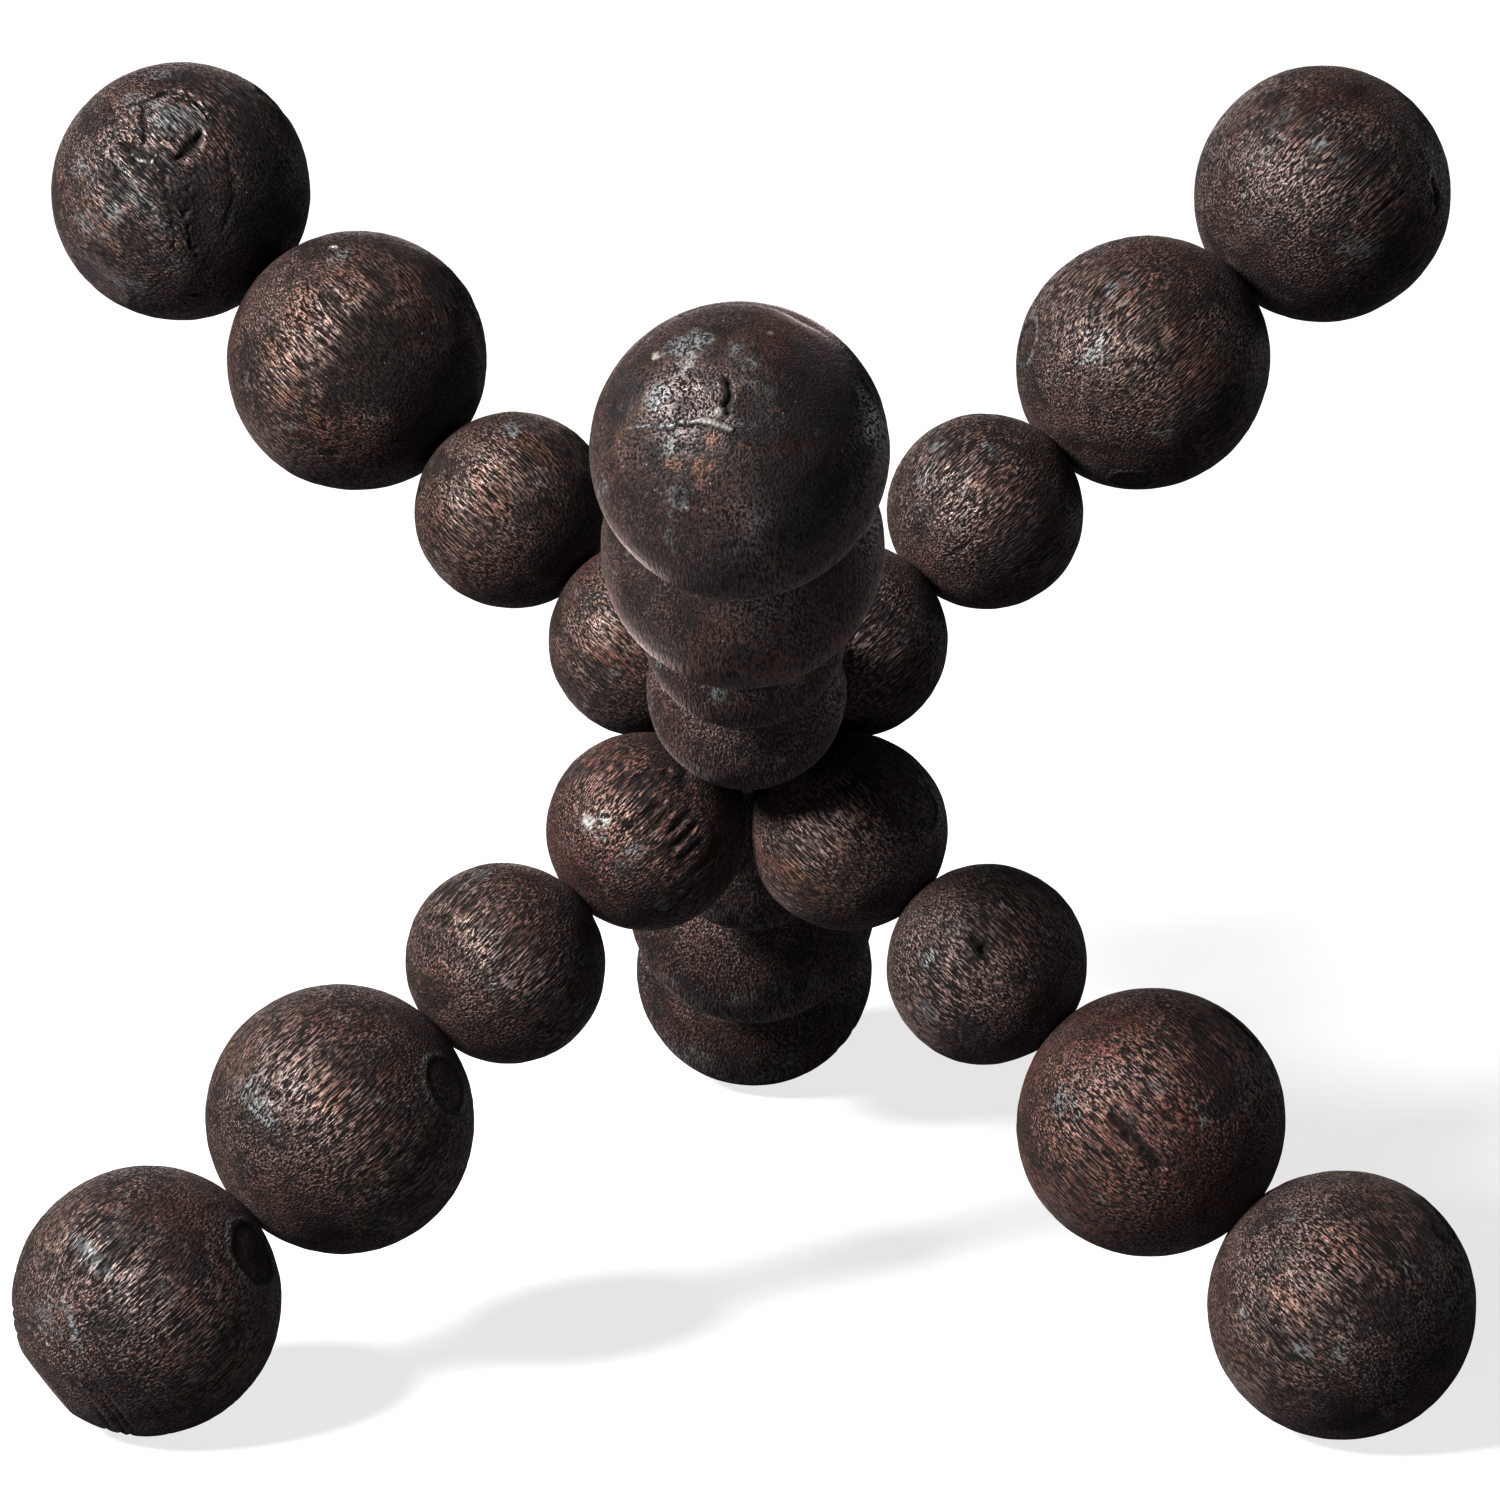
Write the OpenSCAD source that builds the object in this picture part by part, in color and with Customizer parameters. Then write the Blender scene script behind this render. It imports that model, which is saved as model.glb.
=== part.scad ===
// Table ornament in the shape of a giant playing jack: six arms of turned wood balls,
// threaded on steel rods that screw into a core block, at right angles to each other.
// The frame is in millimetres, +Z up, with the origin on the table under the core.
// The jack stands on the end balls of its three low arms.

/* [Balls] */
// Diameter of the outer balls
large_ball_d = 40; // [30:0.5:60]
// Diameter of the inner balls
small_ball_d = 30; // [20:0.5:30]
// Diameter of the flat turned at each pole, where a ball bears on the next one
pole_flat_d = 6; // [5.5:0.5:8]
// Number of inner balls on an arm
inner_balls = 2; // [1:1:4]
// Number of outer balls on an arm
outer_balls = 2; // [1:1:4]

/* [Core and rods] */
// Width of the core block across its flats
core_w = 14; // [14:0.5:20]
// Diameter of the rods
rod_d = 4; // [3:0.5:4.5]
// Radial room for glue between a rod and a ball
glue_gap = 0.1; // [0.05:0.05:0.2]
// Radial room between a rod and its hole in the core
core_gap = 0.02; // [0.01:0.01:0.05]
// How far a rod runs past the centre of the end ball
rod_past_centre = 8; // [0:0.5:10]

/* [Hidden] */
wood_colour = [0.20, 0.16, 0.15];
steel_colour = [0.16, 0.16, 0.17];
round_fn = 96;

// Arms: name, compass direction in degrees from +X, and 1 for up or -1 for down
ARMS = [
    ["front_high", 270, 1],
    ["back_right_high", 30, 1],
    ["back_left_high", 150, 1],
    ["back_low", 90, -1],
    ["front_left_low", 210, -1],
    ["front_right_low", 330, -1],
];

// Three perpendicular axes through the core, each as steep as the other two
arm_elevation = asin(1 / sqrt(3));

balls_per_arm = inner_balls + outer_balls;
BALL_NUMBERS = [1:balls_per_arm];

function ball_d(number) = number <= inner_balls ? small_ball_d : large_ball_d;

// Distance from a ball's centre to either of its pole flats
function pole_height(number) = sqrt(pow(ball_d(number) / 2, 2) - pow(pole_flat_d / 2, 2));

// Distance from the centre of the core to the centre of a ball, each ball bearing on the one before
function ball_distance(number) = number == 1
    ? core_w / 2 + pole_height(1)
    : ball_distance(number - 1) + pole_height(number - 1) + pole_height(number);

arm_length = ball_distance(balls_per_arm);
centre_height = arm_length * sin(arm_elevation) + ball_d(balls_per_arm) / 2;

// A rod starts where it clears the four rods that cross its way
rod_start = rod_d / 2 + 0.5;
rod_end = arm_length + rod_past_centre;
bore_end = rod_end + 1;
bore_d = rod_d + 2 * glue_gap;

// The core is turned from a ball, so that each flat is a round pad
core_ball_d = 1.3 * core_w;

// Turns a child that points along +Z from the core into the arm's direction
module along(arm) {
    translate([0, 0, centre_height])
        rotate([0, 90 - arm[2] * arm_elevation, arm[1]])
            children();
}

// A ball with a flat at each pole and a bore along its grain
module ball(number) {
    d = ball_d(number);
    difference() {
        intersection() {
            sphere(d = d, $fn = round_fn);
            cube([2 * d, 2 * d, 2 * pole_height(number)], center = true);
        }
        ball_bore(number);
    }
}

// The bore goes right through, apart from the end ball's, which stops just past the rod
module ball_bore(number) {
    bottom = -ball_d(number);
    top = number < balls_per_arm ? ball_d(number) : bore_end - arm_length;
    translate([0, 0, bottom])
        cylinder(d = bore_d, h = top - bottom, $fn = round_fn);
}

module arm_ball(arm, number) {
    color(wood_colour)
        along(arm)
            translate([0, 0, ball_distance(number)])
                ball(number);
}

module arm_rod(arm) {
    color(steel_colour)
        along(arm)
            translate([0, 0, rod_start])
                cylinder(d = rod_d, h = rod_end - rod_start, $fn = round_fn);
}

// A ball with six flats and a hole from each flat to the middle.
// The eighth of a turn brings its other four flats square to the other four arms.
module core_block() {
    color(steel_colour)
        along(ARMS[0])
            rotate([0, 0, 45])
                difference() {
                    intersection() {
                        sphere(d = core_ball_d, $fn = round_fn);
                        cube(core_w, center = true);
                    }
                    for (turn = [[0, 0, 0], [90, 0, 0], [0, 90, 0]])
                        rotate(turn)
                            core_hole();
                }
}

module core_hole() {
    cylinder(d = rod_d + 2 * core_gap, h = 2 * core_w, center = true, $fn = round_fn);
}

core_block();

for (arm = ARMS) {
    arm_rod(arm);

    for (number = BALL_NUMBERS)
        arm_ball(arm, number);
}
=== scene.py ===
"""The looks of a giant playing jack: 24 turned wood balls on six arms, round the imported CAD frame.

A ball is shaped in millimetres in a frame of its own: Z runs out along its arm, which is also the way of
the wood's grain, and X faces the front as nearly as it can. A place on a ball is (turn, height) in degrees:
the turn goes round Z from X towards Y, and the height is 90 at the outer pole.
"""

import math
import random

import bpy
import numpy as np
from mathutils import Matrix, Vector


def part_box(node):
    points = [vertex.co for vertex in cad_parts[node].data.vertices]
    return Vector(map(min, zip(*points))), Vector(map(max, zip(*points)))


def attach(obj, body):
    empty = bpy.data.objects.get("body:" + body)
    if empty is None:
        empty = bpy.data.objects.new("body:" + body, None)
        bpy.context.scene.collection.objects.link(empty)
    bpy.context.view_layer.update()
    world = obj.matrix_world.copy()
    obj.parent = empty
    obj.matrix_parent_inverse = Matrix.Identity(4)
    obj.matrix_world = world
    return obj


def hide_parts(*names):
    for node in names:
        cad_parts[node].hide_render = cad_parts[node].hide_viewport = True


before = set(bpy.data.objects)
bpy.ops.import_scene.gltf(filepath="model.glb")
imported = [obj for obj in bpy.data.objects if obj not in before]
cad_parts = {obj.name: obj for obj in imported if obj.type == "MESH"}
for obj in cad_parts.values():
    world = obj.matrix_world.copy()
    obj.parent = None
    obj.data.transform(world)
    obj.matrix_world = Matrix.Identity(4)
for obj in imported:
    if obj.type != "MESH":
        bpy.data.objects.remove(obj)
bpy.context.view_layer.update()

MM = 0.001

ARM_NAMES = (
    "front_high", "back_right_high", "back_left_high",
    "back_low", "front_left_low", "front_right_low",
)
BALL_NUMBERS = (1, 2, 3, 4)

# The ball's own sizes, as in the CAD model
POLE_FLAT_R = 3.0
BORE_R = 2.1
BLIND_BORE_TOP = 9.0
BLIND_BORE_TIP = 9.6

# How far apart the mesh's points are round a ball, in millimetres
COARSE_STEP = 0.42
FINE_STEP = 0.31

# An edge of a ball's mesh sharper than this is shaded as an edge
SHARP_DEGREES = 50

# The columns of a ball's mask of finishes and painted light, in the order of the mesh attribute's R, G, B
# and alpha
# DARK holds real stains, painted shade in hollows and painted shadow on shaded sides; COPPER is copper
# wear, on two balls partly a painted highlight
DARK, GREY, COPPER, WHITE = range(4)

# The camera: degrees round from the front and up from level, metres from the core, and a lens in mm
CAMERA_AZIMUTH = 0.6
CAMERA_ELEVATION = 17.15
CAMERA_DISTANCE = 1.2
CAMERA_LENS = 190
CAMERA_SHIFT = (0.0016, -0.010)

# The lamps: name, node that it shines at, way to it from there (right, up and back in the camera's
# view), distance and size in metres, and watts
LAMPS = (
    ("key", "core_block", (-0.632, 0.4515, 0.631), 1.6, 0.42, 146),
    ("under_front_arm", "front_high_ball_3", (0.1, -0.9, 1.0), 0.22, 0.10, 0.34),
    ("right_side", "core_block", (0.85, 0.15, -0.5), 1.6, 0.9, 12),
    ("behind", "core_block", (-0.2, 0.25, -1.0), 1.6, 1.2, 12),
)
WORLD_STRENGTH = 0.007
VIEW_GAMMA = 0.66


def centre(node):
    low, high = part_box(node)
    return (low + high) / 2


def node_radius(node):
    low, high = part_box(node)
    return max(high - low) / 2


CORE = centre("core_block")


# ---------------------------------------------------------------- noise and shapes in numbers

def lattice(ix, iy, iz, seed):
    """A fixed value from 0 to 1 at each whole-number point, always the same for one seed."""
    mixed = ix * 374761393 + iy * 668265263 + iz * 2147483647 + seed * 1274126177
    mixed = (mixed ^ (mixed >> 13)) * 1274126177 & 0x7FFFFFFF
    mixed = (mixed ^ (mixed >> 16)) & 0xFFFF
    return mixed / 65535.0


def noise(points, seed):
    """Smooth noise from -1 to 1, with a new value at each whole number."""
    cell = np.floor(points).astype(np.int64)
    part = points - cell
    ease = part * part * (3 - 2 * part)
    total = 0
    for dx in (0, 1):
        for dy in (0, 1):
            for dz in (0, 1):
                weight = np.ones(len(points))
                for axis, step in enumerate((dx, dy, dz)):
                    weight = weight * (ease[:, axis] if step else 1 - ease[:, axis])
                total = total + weight * lattice(cell[:, 0] + dx, cell[:, 1] + dy, cell[:, 2] + dz, seed)
    return total * 2 - 1


def smooth(low, high, value):
    """An eased step from 0 at low to 1 at high."""
    t = np.clip((value - low) / (high - low), 0, 1)
    return t * t * (3 - 2 * t)


def direction(place):
    """The unit vector from a ball's centre towards a place on it."""
    turn, height = (math.radians(angle) for angle in place)
    return np.array([
        math.cos(turn) * math.cos(height), math.sin(turn) * math.cos(height), math.sin(height)])


# ---------------------------------------------------------------- the surface of a ball and its marks

class Surface:
    """A ball's surface while it is worked: how far each point has moved out, and its masks of finish and
    painted light.
    """

    def __init__(self, points, radius, seed):
        self.radius = radius
        self.seed = seed
        self.normal = points / np.linalg.norm(points, axis=1)[:, None]
        self.skin = self.normal * radius
        self.depth = np.zeros(len(points))
        self.masks = np.zeros((len(points), 4))

    def tint(self, mask, amount):
        self.masks[:, mask] = np.maximum(self.masks[:, mask], np.clip(amount, 0, 1))

    def reach(self, place, size, long=1.0, tilt=0.0, ragged=0.0):
        """Each point's distance from a place as a share of the size. The shape is `long` times longer along
        the grain, turned by tilt degrees, and its edge may be ragged."""
        out = direction(place)
        east = np.cross([0, 0, 1], out)
        east /= np.linalg.norm(east)
        north = np.cross(out, east)
        x, y = self.skin @ east, self.skin @ north
        c, s = math.cos(math.radians(tilt)), math.sin(math.radians(tilt))
        away = np.hypot(c * x + s * y, (c * y - s * x) / long) / size
        if ragged:
            away = away + ragged * noise(self.skin * (1.7 / size) + 9.1, self.seed + 40)
            away = away + 0.6 * ragged * noise(self.skin * (4.3 / size) + 4.7, self.seed + 41)
        away[self.normal @ out < 0] = 99.0
        return away

    def patch(self, place, size, mask, amount, long=1.0, tilt=0.0, ragged=0.5, soft=0.5):
        """A stained or rubbed place."""
        self.tint(mask, amount * smooth(1.0, 1.0 - soft, self.reach(place, size, long, tilt, ragged)))

    def dent(self, place, size, depth, long=1.0, tilt=0.0, dark=0.0, ragged=0.0):
        """A soft hollow, or a bump where the depth is negative."""
        shape = np.exp(-2 * self.reach(place, size, long, tilt, ragged) ** 2)
        self.depth -= depth * shape
        # The dark tint is painted shade in the hollow.
        self.tint(DARK, dark * shape)

    def pit(self, place, size, depth, long=1.0, tilt=0.0):
        """A small hole with steep sides."""
        shape = smooth(1.0, 0.45, self.reach(place, size, long, tilt, 0.25))
        self.depth -= depth * shape
        # The hole is painted black: painted shade inside it.
        self.tint(DARK, shape)

    def facet(self, place, depth):
        """A flat cut square to a place's direction, at a depth under the ball's skin."""
        facing = self.normal @ direction(place)
        flat = np.where(facing > 0.5, (self.radius - depth) / np.maximum(facing, 0.5) - self.radius, 9.0)
        over = np.clip(0.5 + (self.depth - flat) / 0.5, 0, 1)
        self.depth = self.depth * (1 - over) + flat * over - 0.125 * over * (1 - over)

    def away_from_route(self, places, wobble):
        """Each point's distance in millimetres from a route over the surface, and its share of the way."""
        stops = [direction(place) for place in places]
        arc = []
        for first, last in zip(stops, stops[1:]):
            arc += [first + (last - first) * step / 5 for step in range(5)]
        arc = np.array(arc + [stops[-1]])
        arc *= self.radius / np.linalg.norm(arc, axis=1)[:, None]
        shift = np.stack(
            [noise(self.skin * 0.9 + 3.3 * axis, self.seed + 50 + axis) for axis in range(3)], -1)
        query = self.skin + wobble * shift
        best = np.full(len(query), 1e9)
        share = np.zeros(len(query))
        for i, (a, b) in enumerate(zip(arc, arc[1:])):
            along = np.clip((query - a) @ (b - a) / ((b - a) @ (b - a)), 0, 1)
            gap = np.linalg.norm(query - a - along[:, None] * (b - a), axis=1)
            share = np.where(gap < best, (i + along) / (len(arc) - 1), share)
            best = np.minimum(best, gap)
        return best, share

    def groove(self, places, width, depth, mask=DARK, amount=0.9, lip=0.0, wobble=0.35):
        """A crack, scratch or ridge along a route, thin at both ends, with a raised lip where asked."""
        away, share = self.away_from_route(places, wobble)
        wide = width * (0.35 + 0.65 * np.sqrt(np.sin(math.pi * np.clip(share, 0.02, 0.98))))
        cut = np.exp(-((away / wide) ** 2))
        self.depth -= depth * cut
        self.depth += lip * np.exp(-(((away - 1.9 * wide) / wide) ** 2))
        # With the DARK mask the tint is painted shade in the crack.
        self.tint(mask, amount * smooth(1.25, 0.55, away / wide))

    def lathe_groove(self, height, width, depth, dark=0.6):
        """A groove that the turning tool left right round the axis."""
        away = (np.arcsin(np.clip(self.normal[:, 2], -1, 1)) - math.radians(height)) * self.radius
        cut = np.exp(-((away / width) ** 2))
        self.depth -= depth * cut
        # The dark tint is painted shade in the groove.
        self.tint(DARK, dark * cut * (0.7 + 0.3 * noise(self.skin * 0.4, self.seed + 60)))

    def disc_mark(self, place, size):
        """A round mark on the wood: a sunken dark disc in a pale raised rim."""
        away = self.reach(place, size, ragged=0.06)
        self.depth -= 0.18 * smooth(1.0, 0.85, away)
        self.depth += 0.12 * np.exp(-(((away - 1.1) * 9) ** 2))
        self.tint(DARK, 0.45 * smooth(1.0, 0.9, away))
        self.tint(DARK, np.exp(-(((away - 0.92) * 8) ** 2)))
        broken = smooth(-0.9, 0.0, noise(self.skin * 0.5, 7))
        self.tint(GREY, np.exp(-(((away - 1.12) * 8) ** 2)) * broken)

    def open_grain(self, place, size, depth):
        """A place where the grain is torn open into deep slits along it."""
        there = smooth(1.0, 0.4, self.reach(place, size, ragged=0.4))
        slits = noise(self.skin * (0.95, 0.95, 0.17) + 2.2, self.seed + 70)
        cut = there * smooth(0.05, 0.45, slits)
        self.depth -= depth * cut
        # The slits are darkened with painted shade.
        self.tint(DARK, 0.8 * cut)

    def wear(self):
        """What every ball has: an uneven shape, tool ripples, raised grain, and small marks of its own."""
        ripples = np.column_stack([self.skin[:, 2] * 0.9, np.zeros((len(self.skin), 2))])
        self.depth += noise(self.normal * 1.3 + 11.3, self.seed) * 0.16 - 0.12
        self.depth += noise(self.normal * 3.1 + 5.7, self.seed + 1) * 0.07
        self.depth += noise(ripples, self.seed + 2) * 0.03
        self.depth += noise(self.skin * (0.75, 0.75, 0.12) + 1.9, self.seed + 3) * 0.035
        draw = random.Random(self.seed)
        for _ in range(5):
            self.patch(
                any_place(draw), draw.uniform(0.8, 2.4), GREY, draw.uniform(0.2, 0.7), draw.uniform(1, 2))
        for _ in range(3):
            self.dent(
                any_place(draw), draw.uniform(0.8, 2.5), draw.uniform(0.08, 0.22), draw.uniform(1, 3),
                dark=0.3)
        for _ in range(2):
            self.pit(any_place(draw), draw.uniform(0.35, 0.6), 0.3, draw.uniform(1, 2.5))
        for _ in range(2):
            start = any_place(draw)
            end = (start[0] + draw.uniform(-25, 25), start[1] + draw.uniform(-15, 15))
            self.groove((start, end), 0.22, 0.07, GREY, 0.5)
        turn, height = any_place(draw)
        self.groove(((turn, height - 12), (turn + 2, height + 12)), 0.28, 0.3)
        self.open_grain(any_place(draw), 0.5 * self.radius, 0.16)


def any_place(draw):
    """A place drawn evenly over a ball, away from its poles."""
    return draw.uniform(-180, 180), math.degrees(math.asin(draw.uniform(-0.85, 0.85)))


# ---------------------------------------------------------------- the marks of single balls

def knot_and_channel(s):
    """The end ball with a lifted knot, cracks and gouges round it, a sunken dark channel below, and painted
    shade on its side away from the light.
    """
    s.facet((-57, -6), 1.0)
    s.dent((8, -36), 4.0, 0.9, 2.0, -35)
    s.patch((8, -38), 5.0, DARK, 0.9, 2.2, -35, ragged=0.4, soft=0.6)
    # Painted shade: dark patches on the side away from the light.
    s.patch((62, -58), 11.0, DARK, 0.85, ragged=0.4, soft=0.5)
    s.patch((60, -22), 7.5, DARK, 0.8, 1.6, -20, soft=0.8)
    s.groove(((26, -16), (8, -26), (-4, -38), (-20, -58)), 0.32, 0.35, lip=0.08, wobble=0.6)
    stains = (
        ((-3, 8), 3.0), ((15, -12), 3.5), ((-38, -6), 2.6), ((-16, -14), 3.0), ((60, 24), 3.0),
        ((8, 40), 3.0), ((-45, 30), 3.5), ((-60, -8), 4.0))
    for place, size in stains:
        s.patch(place, size, DARK, 0.75, 1.6, ragged=0.7)
    s.dent((36, 10), 4.5, -0.45)
    s.dent((27, 4), 2.6, 0.25, ragged=0.5)
    s.groove(((19, 36), (32, 26), (47, 19), (50, 10), (47, -2)), 0.42, 0.55, lip=0.22)
    s.groove(((32, 24), (25, 17), (18, 8)), 0.42, 0.8, lip=0.16)
    s.groove(((11, 15), (12, 8), (12, 1)), 0.9, 1.1, DARK, 1.0, lip=0.25)
    s.groove(((24, -8), (32, -8), (39, -6)), 0.85, 1.0, DARK, 1.0)
    s.groove(((18, -6), (11, -13), (5, -20), (-3, -28), (-11, -33)), 0.3, 0.3)
    s.groove(((42, -22), (34, -36), (14, -46)), 0.8, 0.25, DARK, 0.5)
    for place in ((27, 3), (29, 0), (24, 4), (31, 5)):
        s.pit(place, 0.45, 0.4)
    s.groove(((10, 10), (13, 0), (18, 1)), 0.22, -0.12, WHITE, 0.5)
    scuffs = (
        ((-1, -7), 2.2), ((-15, -1), 2.0), ((-4, -22), 1.6), ((-48, -18), 2.6), ((56, 33), 2.6),
        ((30, 32), 2.4), ((33, 12), 2.8), ((-30, 10), 1.8), ((70, 5), 2.0), ((-20, -40), 2.0),
        ((-28, 4), 2.6), ((-49, -15), 2.6), ((-12, 24), 2.4), ((40, 4), 3.0))
    for place, size in scuffs:
        s.patch(place, size, GREY, 0.65, 1.5)
    s.patch((46, 12), 2.0, COPPER, 0.8)
    s.patch((-25, 2), 4.0, COPPER, 0.5, 2.0, ragged=0.9)
    s.patch((48, -14), 2.6, COPPER, 0.5, ragged=0.9)


def copper_belt_and_painted_light(s):
    """A ball with a copper belt round one shoulder, partly wear and partly painted highlight, three small
    dents beyond it, and painted shade away from the light.
    """
    s.facet((60, -28), 0.35)
    # The belt's copper follows the highlight band: partly rubbed copper, partly a painted highlight.
    belt = (
        ((60, -6), 3.0, 0.35), ((38, 7), 3.5, 0.45), ((16, 16), 4.0, 0.6), ((-12, 16), 3.5, 0.6),
        ((-19, 0), 4.0, 0.7), ((-23, -23), 4.5, 0.9), ((-28, -46), 5.0, 0.9))
    for place, size, amount in belt:
        s.patch(place, size, COPPER, amount, 1.2, ragged=0.7, soft=0.7)
    s.dent((-37, -28), 2.4, 0.5, 1.8, dark=0.7, ragged=0.5)
    s.dent((-30, -8), 1.6, 0.35, 1.4, dark=0.5, ragged=0.5)
    s.pit((51, 34), 0.5, -0.2)
    s.patch((51, 34), 0.6, WHITE, 0.9)
    s.patch((46, 27), 2.3, GREY, 0.7)
    for turn in (66, 71, 76):
        s.dent((turn, -25), 0.55, 0.2, 2.4, 12)
        s.groove(((turn, -29), (turn + 2, -21)), 0.3, -0.1, GREY, 0.8)
    # Painted shade on the side away from the light.
    s.patch((24, -30), 10.5, DARK, 0.9, soft=0.45)
    s.patch((44, -62), 12.0, DARK, 0.9, soft=0.5)
    s.open_grain((34, 5), 8.0, 0.12)


def worn(discs=(), grey=(), copper=(), dark=(), slits=()):
    """A ball with disc marks, grey scuffs, copper rubs, dark patches and open grain, each at
    its place and of its size."""
    def mark(s):
        for place, size in copper:
            s.patch(place, size, COPPER, 0.6, 1.2, ragged=0.7, soft=0.7)
        for place, size in dark:
            # On the ball with a knot by its edge these dark patches are painted shadow.
            s.patch(place, size, DARK, 0.85, ragged=0.5, soft=0.5)
        for place, size in grey:
            s.patch(place, size, GREY, 0.9, ragged=0.8)
        for place, size in slits:
            s.open_grain(place, size, 0.25)
        for place, size in discs:
            s.disc_mark(place, size)
    return mark


def lathe_lines(s):
    """The end ball with deep tool grooves near its pole, a flat at the pole, and two long grey scuffs."""
    s.disc_mark((-13, -50), 5.0)
    s.facet((140, 84), 0.9)
    deep = ((50, 0.32, 0.35), (54, 0.34, 0.45), (60, 0.4, 0.3))
    fine = ((2, 0.15, 0.06), (-6, 0.15, 0.07), (-11, 0.15, 0.05), (26, 0.15, 0.05), (34, 0.2, 0.08))
    for height, width, depth in deep + fine:
        s.lathe_groove(height, width, depth)
    s.groove(((62, 8), (50, 9), (40, 11), (30, 10)), 1.2, -0.08, GREY, 1.0)
    s.groove(((44, 32), (33, 37), (26, 41), (18, 44)), 0.9, -0.08, GREY, 1.0)
    s.patch((50, 46), 2.0, GREY, 0.6, tilt=90, long=2.5)
    s.patch((-42, -10), 3.0, COPPER, 0.6, 2.0, ragged=0.8)
    s.dent((-28, 20), 2.2, 0.15, dark=0.25)
    for place in ((36, -2), (33, -4), (38, 1), (8, 6), (10, 3)):
        s.pit(place, 0.4, 0.3, 2.5)
    s.open_grain((36, -4), 4.5, 0.16)


def swirled_end(s):
    """The end ball that faces the front, with its end grain in a swirl, a slit, a waxy ridge whose pale
    line is partly a painted highlight, and scuffs.
    """
    away = s.reach((70, 85), 3.1)
    s.depth += 0.16 * np.exp(-(((away - 1) * 3.2) ** 2)) - 0.16 * np.exp(-((away * 1.6) ** 2))
    s.tint(GREY, 0.35 * np.exp(-(((away - 1) * 4) ** 2)))
    for size in (5.5, 7.5, 9.8):
        ring = np.exp(-(((s.reach((40, 86), size, 1.1, 30, 0.12) - 1) * size * 1.4) ** 2))
        s.depth += 0.05 * ring
    s.groove(((-154, 80), (-120, 86), (-36, 83)), 0.5, 0.9)
    s.dent((-55, 81), 0.85, -0.5)
    s.patch((-55, 81), 0.85, WHITE, 0.25, ragged=0.1)
    # The ridge's grey and white are partly pale wax and partly a painted highlight along it.
    s.groove(((-83, 42), (-72, 63), (-60, 74), (-13, 78)), 0.42, -0.3, GREY, 0.8)
    s.groove(((-64, 70), (-60, 75), (-13, 78)), 0.4, -0.12, WHITE, 0.25, wobble=0.2)
    s.patch((-143, 55), 3.2, GREY, 0.85, 1.3, 40, ragged=0.35)
    s.patch((-132, 62), 1.4, GREY, 0.9)
    s.patch((-129, 65), 1.0, WHITE, 0.15)
    s.patch((-97, 57), 2.5, GREY, 0.8, ragged=0.2)
    s.patch((-126, 47), 0.8, WHITE, 0.25)
    s.dent((-126, 47), 0.7, -0.2)
    s.patch((159, 55), 0.5, WHITE, 0.2)
    s.patch((-57, 58), 1.3, GREY, 0.7)
    s.patch((180, 70), 1.6, GREY, 0.6, 1.6)
    s.patch((165, 74), 1.2, GREY, 0.6, 1.6)
    rubs = (
        ((-174, 85), 0.9), ((-35, 72), 1.2), ((6, 72), 1.1), ((-47, 55), 1.3), ((-25, 55), 1.4),
        ((-30, 62), 1.6), ((75, 76), 0.9))
    for place, size in rubs:
        s.patch(place, size, COPPER, 0.9, ragged=0.6)
    s.groove(((-30, 35), (-31, 26), (-25, 18)), 0.5, -0.12, GREY, 0.5)
    hollow = s.reach((99, 35), 1.8, ragged=0.15)
    s.tint(GREY, 0.8 * np.exp(-(((hollow - 1) * 3.5) ** 2)))
    s.depth -= 0.15 * smooth(1.0, 0.6, hollow)
    s.patch((72, 57), 0.7, GREY, 0.7)
    s.dent((150, 30), 5.5, 0.45, 0.6)
    s.patch((150, 32), 3.0, COPPER, 0.5, 0.5)
    stains = (
        ((36, 43), 8.0, 0.9), ((52, 78), 4.5, 0.7), ((40, 10), 6.0, 0.4), ((85, 62), 5.5, 0.7),
        ((130, 60), 5.0, 0.7), ((-150, 72), 3.0, 0.6), ((-90, 70), 2.2, 0.5), ((-60, 45), 4.0, 0.6),
        ((-8, 36), 3.5, 0.5), ((-110, 35), 5.0, 0.6), ((0, 88), 3.0, 0.5), ((100, 45), 4.0, 0.7),
        ((112, 22), 3.5, 0.7), ((72, 30), 3.0, 0.7), ((60, 50), 2.5, 0.6), ((-30, 48), 1.6, 0.7),
        ((-52, 32), 1.8, 0.6), ((-84, 30), 2.0, 0.6), ((12, 28), 2.2, 0.6))
    for place, size, amount in stains:
        s.patch(place, size, DARK, amount, ragged=0.7, soft=0.6)
    s.patch((-72, 38), 4.5, COPPER, 0.4, 1.5, 90, ragged=0.5, soft=0.8)


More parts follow.
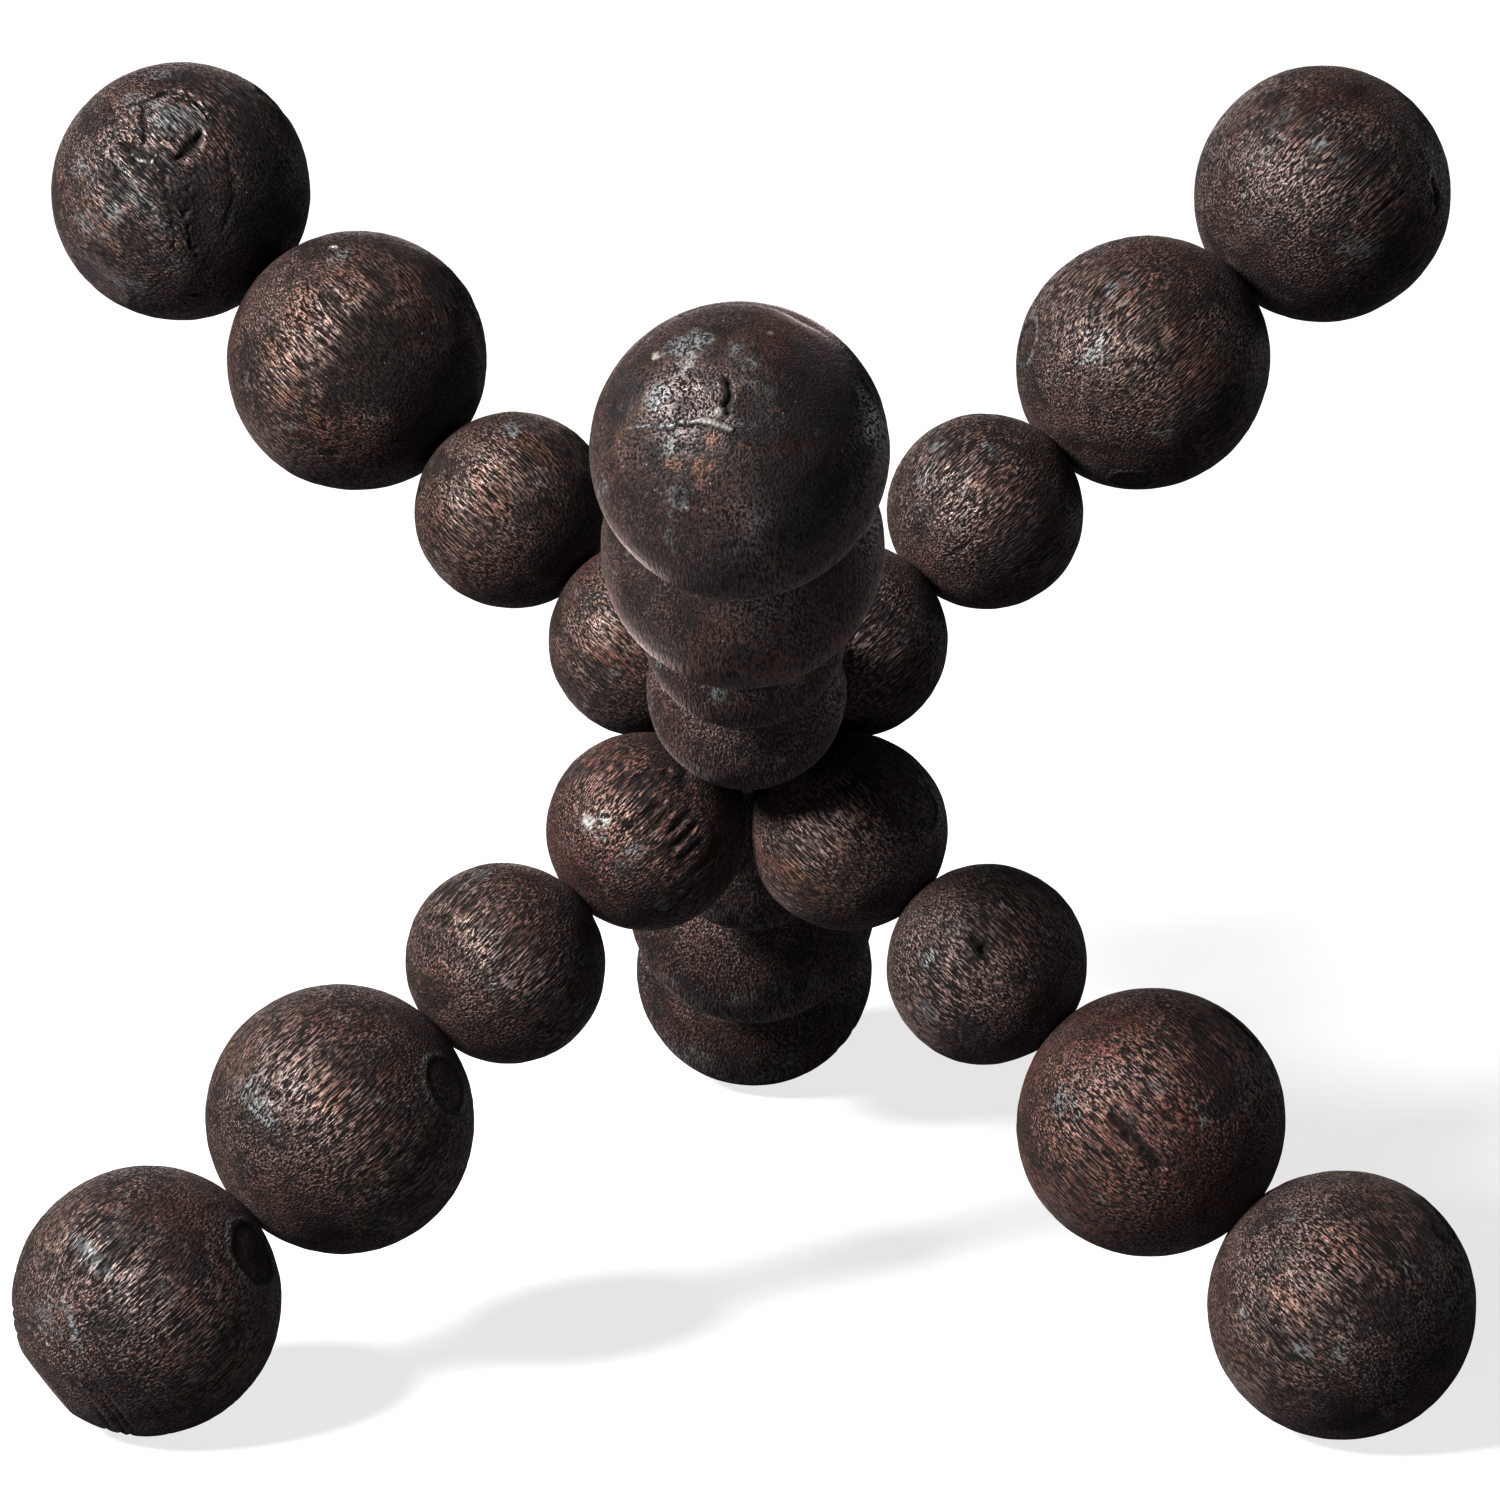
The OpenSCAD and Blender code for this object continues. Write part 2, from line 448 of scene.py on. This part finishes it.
def long_groove(s):
    """A reddish ball with a short deep groove along its grain, a hole, a crack and a hooked scuff."""
    s.patch((9, -19), 5.0, COPPER, 0.4, ragged=0.6, soft=0.9)
    s.patch((16, 10), 5.0, COPPER, 0.3, ragged=0.6, soft=0.9)
    s.groove(((-4, -5), (-4, 12), (-2, 27)), 0.75, 0.9, DARK, 1.0, lip=0.2)
    s.dent((0, 23), 1.3, 0.4, 1.5, dark=0.9)
    s.pit((-64, -26), 0.9, 0.5, 1.6)
    s.groove(((-60, -10), (-62, 1), (-64, 12)), 0.35, 0.5)
    s.groove(((-88, -12), (-92, 15)), 0.5, 0.4)
    s.open_grain((-90, 0), 5.0, 0.3)
    s.groove(((-60, 30), (-54, 32), (-56, 40), (-49, 41)), 0.4, 0.05, GREY, 0.8)
    s.patch((-31, 25), 1.1, GREY, 0.8)
    s.patch((4, -24), 3.4, GREY, 0.7, ragged=0.9)
    s.patch((-96, 31), 0.6, WHITE, 0.8)
    s.patch((-93, 34), 0.5, WHITE, 0.7)


def dented_shoulder(s):
    """The end ball with a flattened shoulder, a dark dent and a split at its edge."""
    s.facet((26, 44), 0.55)
    s.dent((-39, 33), 1.8, 0.4, 1.4, dark=0.7)
    s.groove(((22, 30), (30, 27), (38, 22)), 0.45, 0.6)
    s.open_grain((-10, 10), 9.0, 0.14)
    s.patch((-30, -4), 1.8, GREY, 0.9)
    s.patch((20, -20), 2.6, GREY, 0.8, ragged=0.9)
    s.patch((-12, 20), 1.6, GREY, 0.6)


def white_flecks(s):
    """A reddish ball with two white flecks, deep open grain and grey scuffs."""
    s.patch((30, 20), 6.0, COPPER, 0.45, ragged=0.6, soft=0.9)
    s.patch((-20, 10), 6.0, COPPER, 0.3, ragged=0.6, soft=0.9)
    for place, size in (((46, 31), 1.1), ((34, 23), 0.9)):
        s.dent(place, size, -0.12)
        s.patch(place, size, GREY, 1.0, ragged=0.5, soft=0.25)
        s.patch(place, size, WHITE, 0.22, ragged=0.9, soft=0.4)
    s.patch((40, 28), 2.2, GREY, 0.5)
    s.patch((30, 33), 1.2, GREY, 0.9)
    s.patch((11, 24), 1.4, GREY, 0.8)
    s.patch((-36, 31), 1.6, GREY, 0.9)
    for place, size in (((60, -8), 6.0), ((34, -9), 8.0), ((8, -10), 9.0), ((-20, -4), 8.0)):
        s.open_grain(place, size, 0.28)


def edge_knot(s):
    """A ball with a knot near its edge, a copper belt round it that is partly a painted highlight, and
    painted shadow on its side beyond the belt.
    """
    away = s.reach((67, -8), 2.8, 1.3)
    s.depth += 0.14 * np.cos(np.minimum(away, 3) * 6) * np.exp(-away ** 2)
    s.tint(DARK, 0.95 * np.exp(-((away * 1.5) ** 2)))
    # The copper is partly wear and partly a painted highlight band; the dark patches are painted shadow.
    rub_and_painted_light = worn(
        copper=(((53, 6), 3.5), ((12, 4), 4.0), ((-31, 3), 4.0)),
        dark=(((51, -42), 7.0), ((16, -56), 6.0)),
        grey=(((54, 23), 2.0),))
    rub_and_painted_light(s)


def chipped(s):
    """A dull ball with a split chip, a small round knot beside it, and grey scuffs."""
    s.open_grain((-18, 0), 4.0, 0.2)
    s.groove(((-20, -7), (-19, -1), (-18, 4)), 0.8, 1.0, DARK, 1.0)
    s.groove(((-22, 1), (-17, 5), (-15, 11)), 0.9, 1.1, DARK, 1.0)
    away = s.reach((-23, 29), 2.6, 1.1)
    s.depth += 0.1 * np.cos(np.minimum(away, 3) * 6) * np.exp(-away ** 2)
    s.tint(DARK, 0.8 * np.exp(-((away * 1.6) ** 2)))
    for place, size in (((-56, -27), 1.5), ((-72, -5), 1.6), ((7, -18), 1.6), ((34, 2), 2.0)):
        s.patch(place, size, GREY, 0.9, ragged=0.8)


# How a ball looks unless its row below says otherwise:
#   girth   its width across the arm, as a share of the CAD ball's
#   warm    how coppery its shine is, from 0 to 1
#   brown   how much of the stain is rubbed through to brown, from 0 to 1
#   red     how far the brown leans to red
#   dull    added to its roughness
#   sheen   how much it glows at its edges
#   streak  how strongly its grain shows, from 0 to 1
#   step    the spacing of its mesh
#   marks   what has been done to it, and on some balls painted shade and highlight
PLAIN = {
    "girth": 1.005, "warm": 0.5, "brown": 0.5, "red": 0.05, "dull": 0.0, "sheen": 0.05, "streak": 1.0,
    "step": COARSE_STEP, "marks": None,
}
LOOKS = {
    "front_high_1": {"warm": 0.3, "sheen": 0.15, "marks": worn(grey=(((-20, 5), 2.0), ((20, 20), 1.6)))},
    "front_high_2": {
        "warm": 0.3, "streak": 0.8, "sheen": 0.15,
        "marks": worn(grey=(((-14, 24), 2.2), ((-62, 20), 1.8), ((35, 30), 1.5)))},
    "front_high_3": {
        "girth": 1.01, "warm": 0.4, "brown": 0.8, "red": 0.1, "streak": 0.5, "sheen": 0.25},
    "front_high_4": {
        "girth": 1.03, "warm": 0.25, "brown": 0.35, "red": 0.08, "step": FINE_STEP, "streak": 0.4,
        "sheen": 0.2, "marks": swirled_end},
    "back_right_high_1": {"girth": 1.01, "dull": 0.1, "marks": worn(grey=(((1, 36), 1.0),))},
    "back_right_high_2": {
        "girth": 1.015, "warm": 0.6,
        "marks": worn(grey=(((-64, -3), 2.0), ((-61, -23), 1.8), ((-37, 15), 1.4), ((42, -3), 1.4)))},
    "back_right_high_3": {
        "girth": 0.965, "warm": 0.6,
        "marks": worn(
            discs=(((-91, -38), 3.4), ((63, -50), 3.2)),
            copper=(((6, 1), 5.0), ((-40, -2), 4.0)),
            grey=(((-37, -26), 2.4), ((-49, 0), 1.7), ((-46, 10), 1.3), ((20, -29), 1.9),
                  ((42, 13), 1.4)))},
    "back_right_high_4": {"girth": 0.995, "warm": 0.35, "marks": dented_shoulder},
    "back_left_high_1": {
        "girth": 1.02, "warm": 0.7, "brown": 0.8, "marks": worn(copper=(((14, -14), 5.0),))},
    "back_left_high_2": {"girth": 1.02, "warm": 0.8, "marks": edge_knot},
    "back_left_high_3": {"girth": 1.01, "warm": 0.8, "marks": copper_belt_and_painted_light},
    "back_left_high_4": {
        "girth": 1.01, "warm": 0.1, "brown": 0.5, "step": FINE_STEP, "marks": knot_and_channel},
    "back_low_3": {
        "marks": worn(grey=(((4, -20), 2.8), ((-14, -23), 2.4), ((-34, -18), 2.2), ((40, -8), 2.0)))},
    "back_low_4": {
        "girth": 0.98,
        "marks": worn(
            grey=(((28, -16), 3.0), ((-20, -18), 2.6), ((38, -2), 2.4), ((-4, -6), 2.4),
                  ((-50, -10), 2.0)))},
    "front_left_low_1": {"girth": 1.01, "warm": 0.5, "brown": 0.9, "red": 0.17, "marks": white_flecks},
    "front_left_low_2": {
        "girth": 1.03, "warm": 0.7,
        "marks": worn(grey=(((-19, -31), 1.8), ((-41, -8), 2.0), ((6, 20), 1.8)), slits=(((62, 0), 7.0),))},
    "front_left_low_3": {
        "girth": 1.02, "warm": 0.5,
        "marks": worn(
            discs=(((-15, -42), 4.3),),
            copper=(((22, 4), 3.5), ((-12, 9), 3.5)),
            grey=(((42, 29), 3.0), ((54, 25), 2.4), ((-44, 25), 1.7), ((-48, 18), 1.5)))},
    "front_left_low_4": {"warm": 0.4, "step": FINE_STEP, "marks": lathe_lines},
    "front_right_low_1": {
        "girth": 1.01, "warm": 0.7, "brown": 0.8, "dull": 0.05,
        "marks": worn(discs=(((-69, 30), 3.4),), copper=(((31, -3), 4.0),))},
    "front_right_low_2": {"girth": 1.02, "dull": 0.12, "marks": chipped},
    "front_right_low_3": {
        "girth": 1.015, "warm": 0.6, "brown": 1.0, "red": 0.17, "dull": 0.07, "marks": long_groove},
    "front_right_low_4": {
        "warm": 0.5, "dull": 0.1,
        "marks": worn(
            copper=(((-72, -13), 3.5), ((-32, -10), 4.0), ((-1, -11), 4.0), ((38, -13), 4.0)),
            dark=(((-25, 24), 6.0), ((33, 39), 6.0)),
            grey=(((-29, -39), 1.2), ((25, -23), 1.6), ((11, 8), 2.0), ((1, 20), 1.5), ((-48, 16), 1.8),
                  ((-59, 41), 1.8), ((-2, 52), 2.0)))},
}


# ---------------------------------------------------------------- the turned ball

def ball_profile(radius, step, blind):
    """The outline that is turned about Z, from the bore's lower mouth round the outside: rings of (r, z)
    in millimetres, and the share of the shaping that each takes."""
    height = math.sqrt(radius ** 2 - POLE_FLAT_R ** 2)
    first = math.asin(POLE_FLAT_R / radius)
    last = math.pi if blind else math.pi - first
    steps = round((last - first) * radius / step)
    mid_flat = (BORE_R + POLE_FLAT_R) / 2
    rings = [(BORE_R, -height, 0.0), (mid_flat, -height, 0.0)]
    for i in range(steps if blind else steps + 1):
        angle = first + (last - first) * i / steps
        share = float(smooth(first, first + 0.2, angle))
        if not blind:
            share *= float(smooth(last, last - 0.2, angle))
        rings.append((radius * math.sin(angle), -radius * math.cos(angle), share))
    if not blind:
        rings += [(mid_flat, height, 0.0), (BORE_R, height, 0.0)]
    return np.array(rings)


def lathe_faces(ring_count, around, closed):
    """Quads between rings of points, and from the last ring to the first where the profile is closed."""
    ring = np.arange(ring_count if closed else ring_count - 1)
    spot = np.arange(around)
    beside = (spot + 1) % around
    here = ring[:, None] * around
    above = (ring[:, None] + 1) % ring_count * around
    return np.stack([here + spot, here + beside, above + beside, above + spot], -1).reshape(-1, 4).tolist()


def ball_grid(radius, step, blind):
    """The plain ball's points, the share of the shaping that each takes, and its faces."""
    rings = ball_profile(radius, step, blind)
    around = round(2 * math.pi * radius / step)
    turn = np.arange(around) * 2 * math.pi / around
    circle = np.stack([np.cos(turn), np.sin(turn)], -1)
    grid = np.zeros((len(rings), around, 3))
    grid[:, :, :2] = rings[:, 0, None, None] * circle[None]
    grid[:, :, 2] = rings[:, 1, None]
    points = grid.reshape(-1, 3)
    share = np.repeat(rings[:, 2], around)
    faces = lathe_faces(len(rings), around, not blind)
    if blind:
        # The outer pole, and the bore's wall and pointed end
        pole, wall, tip = len(points), len(points) + 1, len(points) + 1 + around
        rim = (len(rings) - 1) * around
        top = np.column_stack([BORE_R * circle, np.full(around, BLIND_BORE_TOP)])
        points = np.vstack([points, [[0, 0, radius]], top, [[0, 0, BLIND_BORE_TIP]]])
        share = np.concatenate([share, [1.0], np.zeros(around + 1)])
        for i in range(around):
            beside = (i + 1) % around
            faces.append((rim + i, rim + beside, pole))
            faces.append((i, wall + i, wall + beside, beside))
            faces.append((wall + i, tip, wall + beside))
    return points, share, faces


def turned_ball_mesh(name, radius, blind, seed, look):
    """A worked ball's mesh in its own frame, in millimetres."""
    points, share, faces = ball_grid(radius, look["step"], blind)
    surface = Surface(points, radius, seed)
    surface.wear()
    if look["marks"]:
        look["marks"](surface)
    moved = points + surface.normal * (surface.depth * share)[:, None]
    moved[:, :2] *= (1 + (look["girth"] - 1) * share)[:, None]

    mesh = bpy.data.meshes.new(name)
    mesh.from_pydata(moved.tolist(), [], faces)
    mesh.update()
    mesh.attributes.new("grain", "FLOAT_VECTOR", "POINT").data.foreach_set("vector", points.ravel())
    mesh.attributes.new("marks", "FLOAT_COLOR", "POINT").data.foreach_set("color", surface.masks.ravel())
    mesh.shade_smooth()
    mesh.set_sharp_from_angle(angle=math.radians(SHARP_DEGREES))
    return mesh


def arm_frame(arm):
    """Rotation whose Z is the arm's direction outwards, and whose X faces the front as nearly as it can."""
    outward = (centre(f"{arm}_ball_4") - CORE).normalized()
    front = Vector((0, -1, 0))
    side = (front - outward * front.dot(outward)).normalized()
    return Matrix((side, outward.cross(side), outward)).transposed()


def build_ball(arm, number, seed):
    """A visual ball in the place of its CAD node."""
    node = f"{arm}_ball_{number}"
    look = {**PLAIN, **LOOKS.get(f"{arm}_{number}", {})}
    blind = number == BALL_NUMBERS[-1]
    radius = round(node_radius(node) / MM)
    mesh = turned_ball_mesh(f"{node}_turned", radius, blind, seed, look)
    ball = bpy.data.objects.new(f"{node}_turned", mesh)
    bpy.context.scene.collection.objects.link(ball)
    placed = arm_frame(arm).to_4x4()
    placed.translation = centre(node)
    mesh.transform(placed @ Matrix.Scale(MM, 4))
    mesh.materials.append(wood_material(f"wood_{arm}_{number}", seed, look))
    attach(ball, "root")
    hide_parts(node)


# ---------------------------------------------------------------- materials

class Nodes:
    """Short words for building a material's node tree."""

    def __init__(self, name):
        self.material = bpy.data.materials.new(name)
        self.material.use_nodes = True
        self.tree = self.material.node_tree
        self.tree.nodes.clear()

    def add(self, kind, inputs=(), **settings):
        made = self.tree.nodes.new(kind)
        for key, value in settings.items():
            setattr(made, key, value)
        for key, value in dict(inputs).items():
            self.put(made.inputs[key], value)
        return made

    def put(self, socket, value):
        if isinstance(value, bpy.types.NodeSocket):
            self.tree.links.new(value, socket)
        elif hasattr(value, "outputs"):
            self.tree.links.new(value.outputs[0], socket)
        else:
            socket.default_value = value

    def maths(self, operation, a, b=0.0, clamp=False):
        return self.add("ShaderNodeMath", {0: a, 1: b}, operation=operation, use_clamp=clamp).outputs[0]

    def vector(self, operation, a, b):
        return self.add("ShaderNodeVectorMath", {0: a, 1: b}, operation=operation).outputs[0]

    def noise(self, where, scale, detail=2.0, roughness=0.5, distortion=0.0):
        return self.add("ShaderNodeTexNoise", {
            "Vector": where, "Scale": scale, "Detail": detail,
            "Roughness": roughness, "Distortion": distortion}).outputs[0]

    def ramp(self, value, low, high, first=0.0, last=1.0):
        return self.add("ShaderNodeMapRange", {
            "Value": value, "From Min": low, "From Max": high, "To Min": first, "To Max": last},
            interpolation_type="SMOOTHSTEP", clamp=True).outputs[0]

    def mix(self, share, a, b):
        made = self.add("ShaderNodeMix", data_type="RGBA")
        self.put(made.inputs[0], share)
        self.put(made.inputs[6], a)
        self.put(made.inputs[7], b)
        return made.outputs[2]


def colour(r, g, b):
    """Linear colour from sRGB bytes."""
    linear = [((c / 255 + 0.055) / 1.055) ** 2.4 if c > 10 else c / 255 / 12.92 for c in (r, g, b)]
    return (*linear, 1.0)


def wood_material(name, seed, look):
    """Near-black stained wood, rubbed to brown and copper on its high spots, with grey scuffs and painted
    shade in its pores and hollows.
    Its lengths are in millimetres on the plain ball, so a noise's scale is in waves a millimetre."""
    n = Nodes(name)
    grain = n.add("ShaderNodeAttribute", attribute_name="grain").outputs["Vector"]
    marks = n.add("ShaderNodeAttribute", attribute_name="marks")
    split = n.add("ShaderNodeSeparateColor", {0: marks.outputs["Color"]})
    dark_mark, grey_mark, copper_mark = split.outputs[0], split.outputs[1], split.outputs[2]
    white_mark = marks.outputs["Alpha"]
    streak, red, dull, warm = look["streak"], look["red"], look["dull"], look["warm"]

    here = n.vector("ADD", grain, (seed * 37.1 % 100, seed * 17.3 % 100, seed * 53.7 % 100))
    along = n.vector("MULTIPLY", here, (1.0, 1.0, 0.10))
    short = n.vector("MULTIPLY", here, (1.0, 1.0, 0.21))
    bands = n.vector("MULTIPLY", here, (1.0, 1.0, 0.05))

    fibre = n.noise(along, 2.6, 1.5, 0.45)
    grit = n.noise(short, 3.7, 2.0, 0.75)
    pore_band = n.noise(bands, 0.16, 2.0, 0.5)
    pores = n.maths("MULTIPLY", n.ramp(fibre, 0.468, 0.438), n.ramp(pore_band, 0.35, 0.6, 0.6, 1.0))
    pits = n.maths("MULTIPLY", n.ramp(grit, 0.48, 0.43), streak)

    # Height of the surface in millimetres, as a bump
    height = n.maths("MULTIPLY", pores, -0.10 * streak)
    height = n.maths("ADD", height, n.maths("MULTIPLY", fibre, 0.28 * streak))
    height = n.maths("ADD", height, n.maths("MULTIPLY", grit, 0.09 * streak))
    bump = n.add("ShaderNodeBump", {"Strength": 1.0, "Distance": MM, "Height": height})

    # Dark stain, with paler fibres on its ridges
    fibres = colour(92, 81 - 75 * red, 77 - 85 * red)
    base = n.mix(n.ramp(grit, 0.475, 0.59, 0.0, streak), colour(19, 14, 14), fibres)
    cloud = n.noise(n.vector("ADD", here, (2.0, 9.0, 4.0)), 0.14, 3.0, 0.6, 0.4)
    base = n.mix(n.ramp(cloud, 0.47, 0.62, 0.0, 0.7), base, colour(10, 8, 8))

    # Where the stain is rubbed through
    worn = n.noise(here, 0.085, 3.0, 0.6, 0.6)
    rub = n.maths("MULTIPLY", n.ramp(worn, 0.42, 0.66), n.ramp(fibre, 0.38, 0.62, 0.15, 1.0))
    rub = n.maths("MULTIPLY", rub, look["brown"])
    reddish = n.ramp(n.noise(here, 0.12, 2.0, 0.5, 0.3), 0.5 - red, 0.75 - red)
    base = n.mix(rub, base, n.mix(reddish, colour(72, 51, 44), colour(68, 36, 31)))
    copper = n.maths("MULTIPLY", copper_mark, n.ramp(grit, 0.40, 0.56, 0.15, 0.6))
    base = n.mix(copper, base, colour(104, 78, 66))

    # Grey scuffs, broken up by the grain
    drift = n.noise(n.vector("ADD", here, (7.0, 3.0, 5.0)), 0.23, 4.0, 0.65, 0.8)
    scuff = n.maths("MAXIMUM", n.maths("MULTIPLY", n.ramp(drift, 0.60, 0.70), 0.5), grey_mark)
    scuff = n.maths("MULTIPLY", scuff, n.ramp(n.noise(short, 0.9, 3.0, 0.7), 0.40, 0.56, 0.15, 1.0))
    base = n.mix(n.maths("MULTIPLY", scuff, 0.8), base, colour(88, 93, 95))

    # Black in the pits and pores, which a scuff half fills, as stain and painted shade in these hollows,
    # and where a mark is dark: the mark holds stains, painted shade in hollows and painted shadow
    pits = n.maths("MULTIPLY", pits, n.maths("SUBTRACT", 1.0, n.maths("MULTIPLY", scuff, 0.5)))
    base = n.mix(n.maths("MULTIPLY", pits, 0.9), base, colour(4, 3, 3))
    base = n.mix(n.maths("MULTIPLY", pores, 0.95), base, colour(4, 3, 3))
    base = n.mix(n.maths("MULTIPLY", dark_mark, 0.9), base, colour(6, 5, 5))
    base = n.mix(white_mark, base, colour(165, 163, 157))

    # Tiny pale specks of dust
    dust = n.ramp(n.noise(here, 1.9, 0.0, 0.5), 0.84, 0.87)
    base = n.mix(n.maths("MULTIPLY", dust, 0.4), base, colour(150, 142, 138))

    rough = n.ramp(n.noise(here, 0.35, 3.0, 0.6), 0.3, 0.7, 0.42 + dull, 0.56 + dull)
    rough = n.maths("ADD", rough, n.maths("MULTIPLY", pores, 0.4))
    rough = n.maths("ADD", rough, n.maths("MULTIPLY", pits, 0.35))
    rough = n.maths("ADD", rough, n.maths("MULTIPLY", scuff, 0.04))
    rough = n.maths("ADD", rough, n.maths("MULTIPLY", dark_mark, 0.3), clamp=True)

    shader = n.add("ShaderNodeBsdfPrincipled", {
        "Base Color": base, "Roughness": rough, "Normal": bump, "IOR": 1.45,
        "Metallic": n.maths("MULTIPLY", copper, 0.45),
        "Specular Tint": (1.0, 0.96 - 0.11 * warm, 0.95 - 0.18 * warm, 1.0),
        "Sheen Weight": look["sheen"], "Sheen Roughness": 0.35, "Sheen Tint": (0.80, 0.66, 0.64, 1.0)})
    n.add("ShaderNodeOutputMaterial", {0: shader})
    return n.material


def steel_material():
    """Blackened bar steel with a fine grain, for the rods and the core block."""
    n = Nodes("black_oxide_steel")
    where = n.add("ShaderNodeTexCoord").outputs["Object"]
    fine = n.noise(where, 900.0, 4.0, 0.7)
    stain = n.noise(where, 160.0, 3.0, 0.6)
    base = n.mix(n.ramp(stain, 0.4, 0.7), colour(52, 53, 56), colour(38, 36, 36))
    bump = n.add("ShaderNodeBump", {"Strength": 0.4, "Distance": 0.02 * MM, "Height": fine})
    shader = n.add("ShaderNodeBsdfPrincipled", {
        "Base Color": base, "Metallic": 1.0, "Normal": bump,
        "Roughness": n.ramp(fine, 0.3, 0.7, 0.25, 0.42)})
    n.add("ShaderNodeOutputMaterial", {0: shader})
    return n.material


# ---------------------------------------------------------------- the object

balls = [(arm, number) for arm in ARM_NAMES for number in BALL_NUMBERS]
for seed, (arm, number) in enumerate(balls, start=1):
    build_ball(arm, number, seed)

steel = steel_material()
for node in ["core_block"] + [f"{arm}_rod" for arm in ARM_NAMES]:
    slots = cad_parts[node].data.materials
    slots.clear()
    slots.append(steel)


# ---------------------------------------------------------------- floor, light and camera

def studio_paper():
    """Pale paper, nearly white to the camera, that throws little light back at the object."""
    n = Nodes("studio_paper")
    where = n.add("ShaderNodeTexCoord").outputs["Object"]
    tone = n.mix(n.noise(where, 40.0, 3.0), (0.86, 0.86, 0.86, 1.0), (0.88, 0.88, 0.88, 1.0))
    lit = n.add("ShaderNodeBsdfDiffuse", {"Color": tone})
    glow = n.add("ShaderNodeEmission", {"Color": (1.0, 1.0, 1.0, 1.0), "Strength": 0.98})
    seen = n.add("ShaderNodeMixShader", {0: 0.85, 1: lit, 2: glow})
    bounce = n.add("ShaderNodeBsdfDiffuse", {"Color": (0.12, 0.12, 0.12, 1.0)})
    straight = n.add("ShaderNodeLightPath").outputs["Is Camera Ray"]
    shader = n.add("ShaderNodeMixShader", {0: straight, 1: bounce, 2: seen})
    n.add("ShaderNodeOutputMaterial", {0: shader})
    return n.material


def studio_floor():
    """A pale floor that curves up far behind the object into a backdrop."""
    near, flat_end, bend, top, half, bend_steps = -2.5, 2.2, 0.9, 3.2, 3.5, 24
    outline = [(near, 0.0), (flat_end, 0.0)]
    for i in range(1, bend_steps + 1):
        angle = math.pi / 2 * i / bend_steps
        outline.append((flat_end + bend * math.sin(angle), bend * (1 - math.cos(angle))))
    outline.append((flat_end + bend, top))
    points = [(x, y, z) for y, z in outline for x in (-half, half)]
    faces = [(2 * i, 2 * i + 1, 2 * i + 3, 2 * i + 2) for i in range(len(outline) - 1)]
    mesh = bpy.data.meshes.new("studio_floor")
    mesh.from_pydata(points, [], faces)
    mesh.shade_smooth()
    mesh.materials.append(studio_paper())
    floor = bpy.data.objects.new("studio_floor", mesh)
    bpy.context.scene.collection.objects.link(floor)


def soft_light(name, target, towards, distance, size, power):
    """A round lamp that shines on a target from a distance towards a direction, and isn't seen itself."""
    data = bpy.data.lights.new(name, "AREA")
    data.shape = "DISK"
    data.size = size
    data.energy = power
    lamp = bpy.data.objects.new(name, data)
    bpy.context.scene.collection.objects.link(lamp)
    away = Vector(towards).normalized()
    lamp.location = target + away * distance
    lamp.rotation_mode = "QUATERNION"
    lamp.rotation_quaternion = away.to_track_quat("Z", "Y")
    lamp.visible_camera = False


def camera_axes(azimuth, elevation):
    """The camera's right, its up, and the way from the object back to it."""
    a, e = math.radians(azimuth), math.radians(elevation)
    back = Vector((math.sin(a) * math.cos(e), -math.cos(a) * math.cos(e), math.sin(e)))
    right = Vector((math.cos(a), math.sin(a), 0))
    return right, back.cross(right), back


def make_camera(right, up, back):
    data = bpy.data.cameras.new("camera")
    data.sensor_width = 36
    data.lens = CAMERA_LENS
    data.shift_x, data.shift_y = CAMERA_SHIFT
    data.clip_start, data.clip_end = 0.05, 20
    camera = bpy.data.objects.new("camera", data)
    bpy.context.scene.collection.objects.link(camera)
    camera.matrix_world = Matrix((right, up, back)).transposed().to_4x4()
    camera.location = CORE + back * CAMERA_DISTANCE
    bpy.context.scene.camera = camera


def world_light(strength):
    world = bpy.data.worlds.new("studio")
    bpy.context.scene.world = world
    world.use_nodes = True
    sky = world.node_tree.nodes["Background"]
    sky.inputs["Color"].default_value = (1.0, 1.0, 1.0, 1.0)
    sky.inputs["Strength"].default_value = strength


right, up, back = camera_axes(CAMERA_AZIMUTH, CAMERA_ELEVATION)
make_camera(right, up, back)
studio_floor()
for name, node, (to_right, upwards, backwards), distance, size, power in LAMPS:
    towards = right * to_right + up * upwards + back * backwards
    soft_light(name, centre(node), towards, distance, size, power)
world_light(WORLD_STRENGTH)
bpy.context.scene.view_settings.view_transform = "Standard"
bpy.context.scene.view_settings.gamma = VIEW_GAMMA
